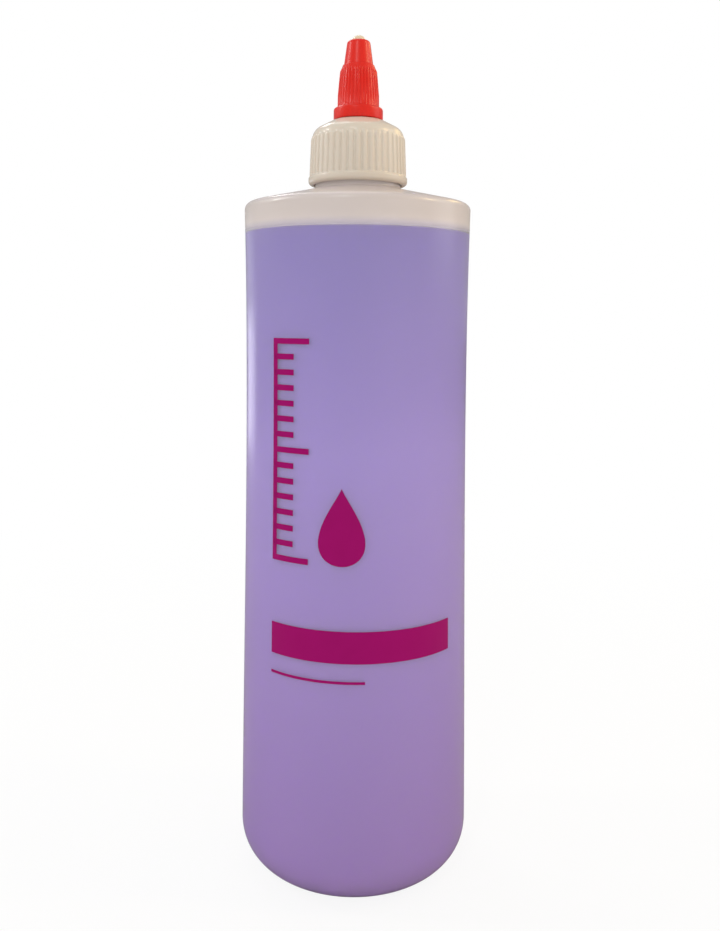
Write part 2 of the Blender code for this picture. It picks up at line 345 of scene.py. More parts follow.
# White polypropylene, injection-moulded: a clean soft gloss and a little light inside it.
# The pin's end is painted a little lighter and yellower: a painted warm highlight where warm light falls on
# it.
WHITE_POLYPROPYLENE = MouldedPlastic(
    "white_polypropylene_moulded",
    "#DACEBD",
    "#DED3C4",
    0.22,
    1.49,
    scatter=0.15,
    # Painted warm highlight on the pin's end, ramped in by height.
    upper_colour="#EAD6B8",
    upper_from_mm=228.5,
    upper_to_mm=230.5,
)
# Red polyethylene, injection-moulded: strong pigment under a soft gloss.
RED_POLYETHYLENE = MouldedPlastic(
    "red_polyethylene_moulded", "#DE2014", "#E22A1C", 0.32, 1.51, roughness_spread=0.03, gloss=0.32
)
# Polyethylene foam, die-cut: dull and pale, with small cells.
POLYETHYLENE_FOAM = MouldedPlastic(
    "polyethylene_foam_cut", "#EDEAE4", "#E4E0D8", 0.8, 1.4, ripple_mm=0.6, ripple_depth_mm=0.05
)
# Soft polyethylene, moulded: pale, waxy and half clear.
SOFT_POLYETHYLENE = MouldedPlastic(
    "soft_polyethylene_moulded", "#E6E3DC", "#EAE7E1", 0.45, 1.51, scatter=0.3
)
# Solvent ink, screen-printed: a thin even film of magenta, a little duller than the bottle's skin.
MAGENTA_INK = MouldedPlastic(
    "magenta_ink_screened", "#9C0765", "#95055F", 0.42, 1.48, cloud_mm=5, ripple_mm=0.8, gloss=0.08
)


@dataclass(frozen=True)
class Corner:
    """A corner of a turned outline, with its fillet and the longest point spacing on the run up to it."""

    radius: float
    height: float
    fillet: float = 0.0
    step: float = 4 * MM


@dataclass(frozen=True)
class Thread:
    """A right-hand thread: its depth, foot, lead, starts and turns, and the widths of its crest and root."""

    depth: float = 0.0
    foot: float = 0.0
    lead: float = 1.0
    starts: float = 1.0
    turns: float = 1.0
    crest: float = 0.0
    root: float = 1.0


@dataclass
class OutlinePoint:
    """A point of a turned outline, with how far ribs and a weld line stand out there, and any thread.

    lining is 1 on the inner side of a wall that has a finish of its own, and 0 elsewhere.
    """

    radius: float
    height: float
    rib: float = 0.0
    weld: float = 0.0
    lining: float = 0.0
    thread: Thread = Thread()


@dataclass(frozen=True)
class Ribs:
    """Ribs round a turned piece: their count and phase, and the cosines where their flanks start and end."""

    count: int = 1
    phase: float = 0.0
    flank_foot: float = -0.9
    flank_top: float = 0.1


def fillet_arc(before: Vector, here: Vector, after: Vector, fillet: float) -> list[Vector]:
    """Rounds one corner.

    Args:
        before: The corner before it.
        here: The corner itself.
        after: The corner after it.
        fillet: The arc's radius.

    Returns:
        Points along the arc that replaces the corner.
    """
    back = (before - here).normalized()
    ahead = (after - here).normalized()
    half = back.angle(ahead) / 2
    centre = here + (back + ahead).normalized() * fillet / math.sin(half)
    arm = here + back * fillet / math.tan(half) - centre
    sweep = math.pi - 2 * half
    chords = max(2, math.ceil(sweep / (2 * math.acos(1 - ARC_SAGITTA / fillet))))
    step = -math.copysign(sweep / chords, back.cross(ahead))
    return [centre + Matrix.Rotation(step * k, 2) @ arm for k in range(chords + 1)]


def trace(corners: Sequence[Corner], closed: bool = False) -> list[OutlinePoint]:
    """Follows straight runs and fillet arcs through the corners.

    Args:
        corners: The corners in order.
        closed: Whether the last corner joins the first.

    Returns:
        The outline's points. A closed outline ends on its first point.
    """
    spots = [Vector((corner.radius, corner.height)) for corner in corners]
    last = len(corners) - 1
    arcs = []
    for i, corner in enumerate(corners):
        if corner.fillet and (closed or 0 < i < last):
            arcs.append(fillet_arc(spots[i - 1], spots[i], spots[(i + 1) % len(spots)], corner.fillet))
        else:
            arcs.append([spots[i]])
    path = []
    for i, arc in enumerate(arcs):
        if i or closed:
            start = arcs[i - 1][-1]
            run = arc[0] - start
            parts = max(1, math.ceil(run.length / corners[i].step))
            path += [start + run * k / parts for k in range(1, parts)]
        path += arc
    if closed:
        path.append(path[0])
    return [OutlinePoint(spot.x, spot.y) for spot in path]


def ring_outline(bore: float, radius: float, foot: float, top: float, edge: float) -> list[OutlinePoint]:
    """Outline of a flat ring.

    Args:
        bore: The radius of its hole.
        radius: Its outer radius.
        foot: The height of its underside.
        top: The height of its upper side.
        edge: The fillet on its edges.

    Returns:
        A closed outline.
    """
    sides = ((bore, top), (radius, top), (radius, foot), (bore, foot))
    return trace([Corner(side, height, edge) for side, height in sides], closed=True)


class PieceTree:
    """A geometry tree with named inputs, whose result is kept as a plain mesh."""

    NAME = ""
    INPUTS: Mapping[str, Sequence[str]] = {}

    def __init__(self) -> None:
        """Makes the tree and its inputs, and links it up."""
        self.tree = bpy.data.node_groups.new(self.NAME, "GeometryNodeTree")
        self.add = partial(add_node, self.tree)
        sockets = self.tree.interface
        for kind, names in self.INPUTS.items():
            for name in names:
                sockets.new_socket(name=name, in_out="INPUT", socket_type=f"NodeSocket{kind}")
        sockets.new_socket(name="Piece", in_out="OUTPUT", socket_type="NodeSocketGeometry")
        self.given = self.add("NodeGroupInput").outputs
        self.add("NodeGroupOutput", self._piece())

    def _piece(self) -> Source:
        """Links the tree up and gives the finished piece."""
        raise NotImplementedError

    def grow(self, name: str, seed: bpy.types.Mesh, values: Mapping[str, Any]) -> bpy.types.Object:
        """Runs the tree on a mesh and keeps the result as a plain mesh.

        Args:
            name: The new piece's name.
            seed: The mesh that the tree starts from, which is removed.
            values: A value for each of the tree's named inputs after the first.

        Returns:
            The piece, with no modifier left on it.
        """
        piece = bpy.data.objects.new(name, seed)
        bpy.context.scene.collection.objects.link(piece)
        modifier = piece.modifiers.new(self.tree.name, "NODES")
        modifier.node_group = self.tree
        identifiers = {item.name: item.identifier for item in self.tree.interface.items_tree}
        for socket, value in values.items():
            modifier[identifiers[socket]] = value
        graph = bpy.context.evaluated_depsgraph_get()
        mesh = bpy.data.meshes.new_from_object(piece.evaluated_get(graph), depsgraph=graph)
        piece.modifiers.clear()
        piece.data = mesh
        bpy.data.meshes.remove(seed)
        mesh.name = name
        return piece


class TurningTree(PieceTree):
    """Geometry nodes that turn an outline about Z, with ribs, a thread and a weld where its points ask."""

    NAME = "turned_moulding"
    INPUTS = {
        "Geometry": ("Outline",),
        "Int": ("Segments", "Ribs"),
        "Float": ("Rib Phase", "Flank Foot", "Flank Top", "Weld Width"),
        "Material": ("Skin", "Lining"),
    }
    RUN_OUT_TURNS = 0.07
    LINING_SHARE = 0.5

    def _sample(self, value: Source, row: Source, kind: str) -> Source:
        """Reads a value at a row of the outline.

        Args:
            value: The field to read there.
            row: The number of the outline's point.
            kind: The field's data type.

        Returns:
            The value as a field on the grid.
        """
        sources = {"Geometry": self.given["Outline"], "Value": value, "Index": row}
        return self.add("GeometryNodeSampleIndex", inputs=sources, data_type=kind).outputs["Value"]

    def _asked(self, name: str, row: Source) -> Source:
        """Reads one of the outline's own numbers at a row."""
        held = self.add("GeometryNodeInputNamedAttribute", inputs={"Name": name}, data_type="FLOAT")
        return self._sample(held.outputs["Attribute"], row, "FLOAT")

    def _rib_crest(self, angle: Source) -> Source:
        """Shapes the ribs round the piece.

        Args:
            angle: The angle about Z.

        Returns:
            From 0 in the grooves to 1 on the crests.
        """
        add, given = self.add, self.given
        phase = add(MATH, angle, given["Ribs"], given["Rib Phase"], operation="MULTIPLY_ADD")
        wave = add(MATH, phase, operation="COSINE")
        return add(MAP_RANGE, wave, given["Flank Foot"], given["Flank Top"], interpolation_type="SMOOTHSTEP")

    def _thread_crest(self, turn: Source, height: Source, row: Source) -> Source:
        """Shapes the thread that a row asks for, which runs out softly at both ends.

        Args:
            turn: The share of a full turn about Z.
            height: The height of the outline's point.
            row: The number of the outline's point.

        Returns:
            From 0 beside the thread to its depth on its crest.
        """
        add = self.add
        thread = {item.name: self._asked(f"thread_{item.name}", row) for item in fields(Thread)}
        above = add(MATH, height, thread["foot"], operation="SUBTRACT")
        leads = add(MATH, above, thread["lead"], operation="DIVIDE")
        climb = add(MATH, leads, turn, operation="SUBTRACT")
        pitch = add(MATH, 1.0, thread["starts"], operation="DIVIDE")
        middle = add(MATH, pitch, 0.5, climb, operation="MULTIPLY_ADD")
        nearest = add(MATH, middle, pitch, operation="SNAP")
        apart = add(MATH, climb, nearest, operation="SUBTRACT")
        off = add(MATH, apart, operation="ABSOLUTE")
        across = add(MATH, off, thread["lead"], operation="MULTIPLY")
        width = add(MATH, across, 2.0, operation="MULTIPLY")
        flank = (thread["crest"], thread["root"], thread["depth"], 0.0)
        profile = add(MAP_RANGE, width, *flank, interpolation_type="SMOOTHSTEP")
        along = add(MATH, turn, nearest, operation="ADD")
        left = add(MATH, thread["turns"], along, operation="SUBTRACT")
        end = add(MATH, along, left, operation="MINIMUM")
        share = add(MAP_RANGE, end, 0.0, self.RUN_OUT_TURNS, interpolation_type="SMOOTHSTEP")
        return add(MATH, profile, share, operation="MULTIPLY")

    def _weld_crest(self, angle: Source, radius: Source) -> Source:
        """Shapes the straight weld across a base, in the plane that the first rib lies in.

        Args:
            angle: The angle about Z.
            radius: The radius of the outline's point.

        Returns:
            From 0 beside the weld to 1 on its crest.
        """
        add, given = self.add, self.given
        phase = add(MATH, given["Rib Phase"], given["Ribs"], operation="DIVIDE")
        plane = add(MATH, angle, phase, operation="ADD")
        sine = add(MATH, plane, operation="SINE")
        across = add(MATH, sine, radius, operation="MULTIPLY")
        off = add(MATH, across, operation="ABSOLUTE")
        flank = (0.0, given["Weld Width"], 1.0, 0.0)
        return add(MAP_RANGE, off, *flank, interpolation_type="SMOOTHSTEP")

    def _grid(self) -> Source:
        """Bends a grid round Z, with a row for each of the outline's points.

        Returns:
            The turned surface, which still has a seam, with its lining marked.
        """
        add, given = self.add, self.given
        rows = add("GeometryNodeAttributeDomainSize", inputs={"Geometry": given["Outline"]})
        columns = add(INTEGER_MATH, given["Segments"], 1, operation="ADD")
        grid = add("GeometryNodeMeshGrid", inputs={"Vertices X": rows, "Vertices Y": columns})
        index = add("GeometryNodeInputIndex")
        row = add(INTEGER_MATH, index, columns, operation="DIVIDE_FLOOR")
        column = add(INTEGER_MATH, index, columns, operation="MODULO")
        turn = add(MATH, column, given["Segments"], operation="DIVIDE")
        angle = add(MATH, turn, math.tau, operation="MULTIPLY")
        place = self._sample(add("GeometryNodeInputPosition").outputs[0], row, "FLOAT_VECTOR")
        point = add(SEPARATE, place).outputs
        ribs = (self._asked("rib", row), self._rib_crest(angle))
        ribbed = add(MATH, *ribs, point["X"], operation="MULTIPLY_ADD")
        radius = add(MATH, ribbed, self._thread_crest(turn, point["Z"], row), operation="ADD")
        weld = (self._asked("weld", row), self._weld_crest(angle, point["X"]))
        height = add(MATH, *weld, point["Z"], operation="MULTIPLY_ADD")
        sides = [
            add(MATH, radius, add(MATH, angle, operation=operation), operation="MULTIPLY")
            for operation in ("COSINE", "SINE")
        ]
        spot = add(COMBINE, *sides, height)
        shaped = add("GeometryNodeSetPosition", inputs={"Geometry": grid, "Position": spot})
        mark = {"Geometry": shaped, "Name": "lining", "Value": self._asked("lining", row)}
        return add("GeometryNodeStoreNamedAttribute", inputs=mark, data_type="FLOAT")

    def _piece(self) -> Source:
        """Closes the seam, sets smooth and sharp edges, and lays on the finishes.

        Returns:
            The finished piece.
        """
        add, given = self.add, self.given
        seam = {"Geometry": self._grid(), "Distance": MERGE_DISTANCE}
        closed = add("GeometryNodeMergeByDistance", inputs=seam)
        smooth = add("GeometryNodeSetShadeSmooth", closed, inputs={"Shade Smooth": True})
        bend = add("GeometryNodeInputMeshEdgeAngle")
        sharp = add("FunctionNodeCompare", bend, SHARP_ANGLE, operation="GREATER_THAN")
        edges = {"Selection": sharp, "Shade Smooth": False}
        edged = add("GeometryNodeSetShadeSmooth", smooth, inputs=edges, domain="EDGE")
        marks = add("GeometryNodeInputNamedAttribute", inputs={"Name": "lining"}, data_type="FLOAT")
        lining = marks.outputs["Attribute"]
        inner = add("FunctionNodeCompare", lining, self.LINING_SHARE, operation="GREATER_THAN")
        skin = {"Geometry": edged, "Material": given["Skin"]}
        skinned = add("GeometryNodeSetMaterial", inputs=skin)
        inside = {"Geometry": skinned, "Selection": inner, "Material": given["Lining"]}
        return add("GeometryNodeSetMaterial", inputs=inside)

    def turn(
        self,
        name: str,
        outline: Sequence[OutlinePoint],
        segments: int,
        skin: bpy.types.Material,
        lining: bpy.types.Material | None = None,
        ribs: Ribs = Ribs(),
        weld_width: float = 1 * MM,
    ) -> bpy.types.Object:
        """Turns an outline into a piece.

        Args:
            name: The piece's name.
            outline: Its points in order.
            segments: The number of faces round it.
            skin: Its finish.
            lining: The finish where the outline says lining, if it differs.
            ribs: The ribs or parting lines round it.
            weld_width: The half width of the weld across its base.

        Returns:
            The piece as a plain mesh.
        """
        seed = bpy.data.meshes.new(name)
        links = [(i, i + 1) for i in range(len(outline) - 1)]
        seed.from_pydata([(point.radius, 0, point.height) for point in outline], links, [])
        asked = {kind: [getattr(point, kind) for point in outline] for kind in ("rib", "weld", "lining")}
        for item in fields(Thread):
            asked[f"thread_{item.name}"] = [getattr(point.thread, item.name) for point in outline]
        for kind, numbers in asked.items():
            seed.attributes.new(kind, "FLOAT", "POINT").data.foreach_set("value", numbers)
        values = {
            "Segments": segments,
            "Ribs": ribs.count,
            "Rib Phase": ribs.phase,
            "Flank Foot": ribs.flank_foot,
            "Flank Top": ribs.flank_top,
            "Weld Width": weld_width,
            "Skin": skin,
            "Lining": lining or skin,
        }
        return self.grow(name, seed, values)


def mount(piece: bpy.types.Object, body: Body, slot: Slot | None, *nodes: str) -> None:
    """Lets a finished piece ride on its body and stand for CAD nodes, and logs it.

    Args:
        piece: The finished piece.
        body: The body that it rides on.
        slot: The record's slot that its finish comes from, if it has one; not used.
        *nodes: The CAD nodes that it stands for.
    """
    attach(piece, body.value)
    if nodes:
        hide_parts(*nodes)
    LOG.info("%s: %d faces, on %s", piece.name, len(piece.data.polygons), body.value)


@dataclass
class Bottle:
    """The blow-moulded bottle with its oil."""

    turning: TurningTree
    lip: float
    oil_level: float
    top_radius: float = 32.1 * MM
    waist_radius: float = 31.15 * MM
    belly_radius: float = 31.4 * MM
    heel_radius: float = 31.65 * MM
    waist_height: float = 112 * MM
    belly_height: float = 60 * MM
    wall: float = 1.0 * MM
    heel_round: float = 11.2 * MM
    foot_width: float = 2.6 * MM
    foot_round: float = 1.5 * MM
    push_up_height: float = 3.5 * MM
    push_up_radius: float = 10 * MM
    push_up_round: float = 4 * MM
    push_up_step: float = 1 * MM
    shoulder_slope: float = math.radians(13)
    shoulder_round: float = 2 * MM
    neck_height: float = 14.7 * MM
    neck_radius: float = 10.7 * MM
    neck_wall: float = 1.5 * MM
    neck_ring_radius: float = 12.2 * MM
    neck_ring_height: float = 2.1 * MM
    neck_fillet: float = 0.8 * MM
    lip_round: float = 0.5 * MM
    thread_depth: float = 1.1 * MM
    thread_step: float = 0.25 * MM
    thread_drop: float = 6.6 * MM
    thread_lead: float = 3.175 * MM
    thread_turns: float = 1.5
    thread_crest: float = 0.7 * MM
    thread_root: float = 1.7 * MM
    parting_lines: int = 2
    parting_angle: float = math.radians(-10)
    parting_spread: float = math.radians(3.2)
    parting_depth: float = 0.06 * MM
    weld_depth: float = 0.35 * MM
    weld_width: float = 0.7 * MM
    weld_taper: float = 0.25
    oil_gap: float = 0.05 * MM
    meniscus_rise: float = 0.7 * MM
    meniscus_reach: float = 1.6 * MM
    meniscus_curl: float = 2.5
    meniscus_steps: int = 6
    body_step: float = 5 * MM
    segments: int = 256
    oil_segments: int = 160

    @property
    def neck_foot(self) -> float:
        """Height of the neck's foot on the shoulder."""
        return self.lip - self.neck_height

    @property
    def neck_bore(self) -> float:
        """Radius of the neck's inside."""
        return self.neck_radius - self.neck_wall

    @property
    def ring_top(self) -> float:
        """Height of the top of the ring at the neck's foot."""
        return self.neck_foot + self.neck_ring_height

    @property
    def thread(self) -> Thread:
        """The neck's thread.

        Returns:
            A thread of one start, with its foot under the lip.
        """
        return Thread(
            depth=self.thread_depth,
            foot=self.lip - self.thread_drop,
            lead=self.thread_lead,
            turns=self.thread_turns,
            crest=self.thread_crest,
            root=self.thread_root,
        )

    def shoulder_height(self, radius: float, inset: float) -> float:
        """Height of the sloping shoulder at a radius, on a surface that lies inset below its outside."""
        fall = (radius - self.neck_ring_radius) * math.tan(self.shoulder_slope)
        return self.neck_foot - fall - inset / math.cos(self.shoulder_slope)

    def body_radius(self, height: float) -> float:
        """Finds the body's outside, a shallow curve through the heel, belly, waist and shoulder.

        Args:
            height: The height on the body.

        Returns:
            The radius there.
        """
        knots = (
            (0.0, self.heel_radius),
            (self.belly_height, self.belly_radius),
            (self.waist_height, self.waist_radius),
            (self.shoulder_height(self.top_radius, 0), self.top_radius),
        )
        radius = 0.0
        for here, size in knots:
            for other, _ in knots:
                if other != here:
                    size *= (height - other) / (here - other)
            radius += size
        return radius

    def body_corners(self, neck: float, inset: float) -> list[Corner]:
        """Corners of the body on a surface inset from its outside.

        Args:
            neck: The radius where the neck starts.
            inset: The depth under the outside.

        Returns:
            Corners from the neck's foot down to the middle of the base.
        """
        edge = self.top_radius - inset
        edge_height = self.shoulder_height(edge, inset)
        corners = [
            Corner(neck, self.shoulder_height(neck, inset), self.neck_fillet),
            Corner(edge, edge_height, self.shoulder_round - inset),
        ]
        stations = math.ceil(edge_height / self.body_step)
        for k in range(1, stations):
            height = edge_height * (1 - k / stations)
            if self.heel_round < height:
                corners.append(Corner(self.body_radius(height) - inset, height))
        foot = self.heel_radius - self.heel_round - self.foot_width
        crown = self.push_up_height + inset
        corners += [
            Corner(self.heel_radius - inset, inset, self.heel_round - inset),
            Corner(foot, inset, self.foot_round),
            Corner(self.push_up_radius, crown, self.push_up_round, self.push_up_step),
            Corner(0, crown, 0, self.push_up_step),
        ]
        return corners

    def shell_outline(self) -> list[OutlinePoint]:
        """Outline of the shell, up its inside and down its outside.

        Returns:
            Points with the neck's thread, the parting lines and the weld on them.
        """
        bore, ring_top = self.neck_bore, self.ring_top
        inside = trace([Corner(bore, self.lip - self.lip_round), *self.body_corners(bore, self.wall)])
        for point in inside:
            point.lining = 1.0
        outside = trace(
            [
                Corner(bore, self.lip - self.lip_round),
                Corner(bore, self.lip, self.lip_round / 2),
                Corner(self.neck_radius, self.lip, self.lip_round),
                Corner(self.neck_radius, ring_top, self.lip_round / 2, self.thread_step),
                Corner(self.neck_ring_radius, ring_top, self.lip_round),
                *self.body_corners(self.neck_ring_radius, 0),
            ]
        )
        for point in outside:
            if ring_top < point.height < self.lip - self.lip_round and point.radius >= self.neck_radius:
                point.thread = self.thread
            if self.heel_round < point.height < self.neck_foot - self.shoulder_round:
                point.rib = self.parting_depth
            if point.radius < self.push_up_radius and point.height < self.neck_foot:
                point.weld = -self.weld_depth * (1 - point.radius / self.push_up_radius) ** self.weld_taper
        return inside[::-1] + outside[1:]

    def oil_outline(self) -> list[OutlinePoint]:
        """Outline of the oil: a level top that climbs the wall a little, and the bottle's inside below it.

        Returns:
            Points from the middle of the surface down to the middle of the base.
        """
        inset = self.wall + self.oil_gap
        wetted = trace(self.body_corners(self.neck_bore - self.oil_gap, inset))
        rim = self.body_radius(self.oil_level) - inset
        middle = self.oil_level - self.meniscus_rise
        surface = [OutlinePoint(0.0, middle)]
        for k in range(self.meniscus_steps + 1):
            share = k / self.meniscus_steps
            radius = rim - self.meniscus_reach * (1 - share)
            surface.append(OutlinePoint(radius, middle + self.meniscus_rise * share**self.meniscus_curl))
        return surface + [point for point in wetted if point.height < self.oil_level]

    def build(self, hdpe: MouldedPlastic, lining: MouldedPlastic, oil: DyedOil) -> bpy.types.Object:
        """Makes and dresses the shell and the oil.

        Args:
            hdpe: The finish of the shell's outside.
            lining: The finish of its inside.
            oil: The oil's finish.

        Returns:
            The shell.
        """
        phase = -self.parting_lines * self.parting_angle
        parting = Ribs(self.parting_lines, phase, math.cos(self.parting_spread), 1.0)
        finishes = (hdpe.make(), lining.make())
        outline = self.shell_outline()
        shell = self.turning.turn("bottle_shell", outline, self.segments, *finishes, parting, self.weld_width)
        mount(shell, Body.BOTTLE, Slot.HDPE, "bottle")
        fill = self.turning.turn("oil_body", self.oil_outline(), self.oil_segments, oil.make())
        mount(fill, Body.BOTTLE, Slot.OIL, "oil_fill")
        return shell


class PrintTree(PieceTree):
    """Geometry nodes that lay out a banner, a rule, a ladder of marks and a drop, and wrap them on a body."""

    NAME = "screen_print"
    INPUTS = {
        "Geometry": ("Seed",),
        "Vector": (
            "Banner Size",
            "Banner Middle",
            "Rule Size",
            "Rule Middle",
            "Ladder Foot",
            "Drop Size",
            "Drop Middle",
        ),
        "Float": ("Ladder Height", "Ladder Stroke", "Long Mark", "Short Mark", "Radius", "Sunk", "Film"),
        "Int": ("Marks", "Long Every"),
        "Object": ("Shell",),
        "Material": ("Ink",),
    }
    LONG_STEPS = 97
    SHORT_STEPS = 9
    RULE_STEPS = 3
    DROP_RINGS = 8
    DROP_PINCH = 1.4
    DROP_HANG = 0.4

    def _bar(self, size: Source, middle: Source, across: int, up: int) -> Source:
        """Lays out a filled bar.

        Args:
            size: Its width and height.
            middle: Where its middle lies.
            across: The number of points across it.
            up: The number of points up it.

        Returns:
            The flat bar.
        """
        sides = self.add(SEPARATE, size).outputs
        grid = self.add("GeometryNodeMeshGrid", sides["X"], sides["Y"], across, up)
        return self.add("GeometryNodeTransform", inputs={"Geometry": grid, "Translation": middle})

    def _spine(self) -> Source:
        """Lays out the upright of the ladder.

        Returns:
            The flat spine, which covers the ends of the first and last marks.
        """
        add, given = self.add, self.given
        stroke, height = given["Ladder Stroke"], given["Ladder Height"]
        size = add(COMBINE, stroke, add(MATH, height, stroke, operation="ADD"))
        halves = [add(MATH, side, 0.5, operation="MULTIPLY") for side in (stroke, height)]
        middle = add(VECTOR_MATH, given["Ladder Foot"], add(COMBINE, *halves), operation="ADD")
        return self._bar(size, middle, self.SHORT_STEPS, self.LONG_STEPS)

    def _marks(self) -> Source:
        """Lays out the level marks of the ladder.

        Returns:
            The flat marks, as instances.
        """
        add, given = self.add, self.given
        gaps = add(INTEGER_MATH, given["Marks"], 1, operation="SUBTRACT")
        pitch = add(MATH, given["Ladder Height"], gaps, operation="DIVIDE")
        step = add(COMBINE, 0.0, pitch)
        row = {"Count": given["Marks"], "Start Location": given["Ladder Foot"], "Offset": step}
        stations = add("GeometryNodeMeshLine", inputs=row)
        index = add("GeometryNodeInputIndex")
        turn = add(INTEGER_MATH, index, given["Long Every"], operation="MODULO")
        long = add("FunctionNodeCompare", inputs={2: turn, 3: 0}, data_type="INT", operation="EQUAL")
        lengths = {"Switch": long, "False": given["Short Mark"], "True": given["Long Mark"]}
        length = add("GeometryNodeSwitch", inputs=lengths, input_type="FLOAT")
        unit = add(COMBINE, 1.0, 1.0)
        right = add(COMBINE, 0.5)
        mark = self._bar(unit, right, 2 * self.SHORT_STEPS, self.SHORT_STEPS)
        size = add(COMBINE, length, given["Ladder Stroke"], 1.0)
        copies = {"Points": stations, "Instance": mark, "Scale": size}
        return add("GeometryNodeInstanceOnPoints", inputs=copies)

    def _drop(self) -> Source:
        """Lays out a filled drop with its point up.

        Returns:
            The flat drop.
        """
        add, given = self.add, self.given
        grid = add("GeometryNodeMeshGrid", 1.0, 1.0, self.DROP_RINGS, self.LONG_STEPS)
        flat = add(SEPARATE, add("GeometryNodeInputPosition")).outputs
        reach = add(MATH, flat["X"], 0.5, operation="ADD")
        share = add(MATH, flat["Y"], 0.5, operation="ADD")
        angle = add(MATH, share, -math.tau, operation="MULTIPLY")
        sine = add(MATH, angle, operation="SINE")
        cosine = add(MATH, angle, operation="COSINE")
        half = add(MATH, share, math.pi, operation="MULTIPLY")
        pinch = add(MATH, half, operation="SINE")
        narrow = add(MATH, pinch, self.DROP_PINCH, operation="POWER")
        side = add(MATH, sine, narrow, operation="MULTIPLY")
        across = add(MATH, side, reach, operation="MULTIPLY")
        below = add(MATH, cosine, self.DROP_HANG, operation="ADD")
        up = add(MATH, below, reach, -self.DROP_HANG, operation="MULTIPLY_ADD")
        shape = add(COMBINE, across, up)
        sized = add(VECTOR_MATH, shape, given["Drop Size"], given["Drop Middle"], operation="MULTIPLY_ADD")
        return add("GeometryNodeSetPosition", inputs={"Geometry": grid, "Position": sized})

    def _wrapped(self, flat: Source) -> Source:
        """Wraps a flat layout on the bottle's front.

        Args:
            flat: The layout, with X along the skin and Y up.

        Returns:
            The layout on the skin.
        """
        add, given = self.add, self.given
        spot = add(SEPARATE, add("GeometryNodeInputPosition")).outputs
        angle = add(MATH, spot["X"], given["Radius"], operation="DIVIDE")
        sine = add(MATH, angle, operation="SINE")
        cosine = add(MATH, angle, operation="COSINE")
        outward = add(COMBINE, sine, add(MATH, cosine, -1.0, operation="MULTIPLY"))
        inward = add(VECTOR_MATH, outward, inputs={"Scale": -1.0}, operation="SCALE")
        away = add(MATH, given["Radius"], 2.0, operation="MULTIPLY")
        apart = add(VECTOR_MATH, outward, inputs={"Scale": away}, operation="SCALE")
        start = add(VECTOR_MATH, add(COMBINE, 0.0, 0.0, spot["Y"]), apart, operation="ADD")
        shell = add("GeometryNodeObjectInfo", inputs={"Object": given["Shell"]}).outputs["Geometry"]
        ray = {"Source Position": start, "Ray Direction": inward, "Ray Length": away}
        skin = add("GeometryNodeRaycast", shell, inputs=ray).outputs["Hit Position"]
        depth = add(VECTOR_MATH, inward, inputs={"Scale": given["Sunk"]}, operation="SCALE")
        laid = {"Geometry": flat, "Position": skin, "Offset": depth}
        return add("GeometryNodeSetPosition", inputs=laid)

    def _piece(self) -> Source:
        """Links the tree from the layout to the closed film of ink.

        Returns:
            The film.
        """
        add, given = self.add, self.given
        pieces = [
            self._bar(given["Banner Size"], given["Banner Middle"], self.LONG_STEPS, self.SHORT_STEPS),
            self._bar(given["Rule Size"], given["Rule Middle"], self.LONG_STEPS, self.RULE_STEPS),
            self._spine(),
            self._marks(),
            self._drop(),
        ]
        layout = add("GeometryNodeJoinGeometry", pieces)
        skin = self._wrapped(add("GeometryNodeRealizeInstances", layout))
        whole = add("GeometryNodeMergeByDistance", skin, inputs={"Distance": MERGE_DISTANCE})
        lift = {"Offset Scale": given["Film"], "Individual": False}
        raised = add("GeometryNodeExtrudeMesh", whole, inputs=lift)
        under = add("GeometryNodeFlipFaces", whole)
        both = add("GeometryNodeJoinGeometry", [raised, under])
        closed = add("GeometryNodeMergeByDistance", both, inputs={"Distance": MERGE_DISTANCE})
        return add("GeometryNodeSetMaterial", closed, inputs={"Material": given["Ink"]})


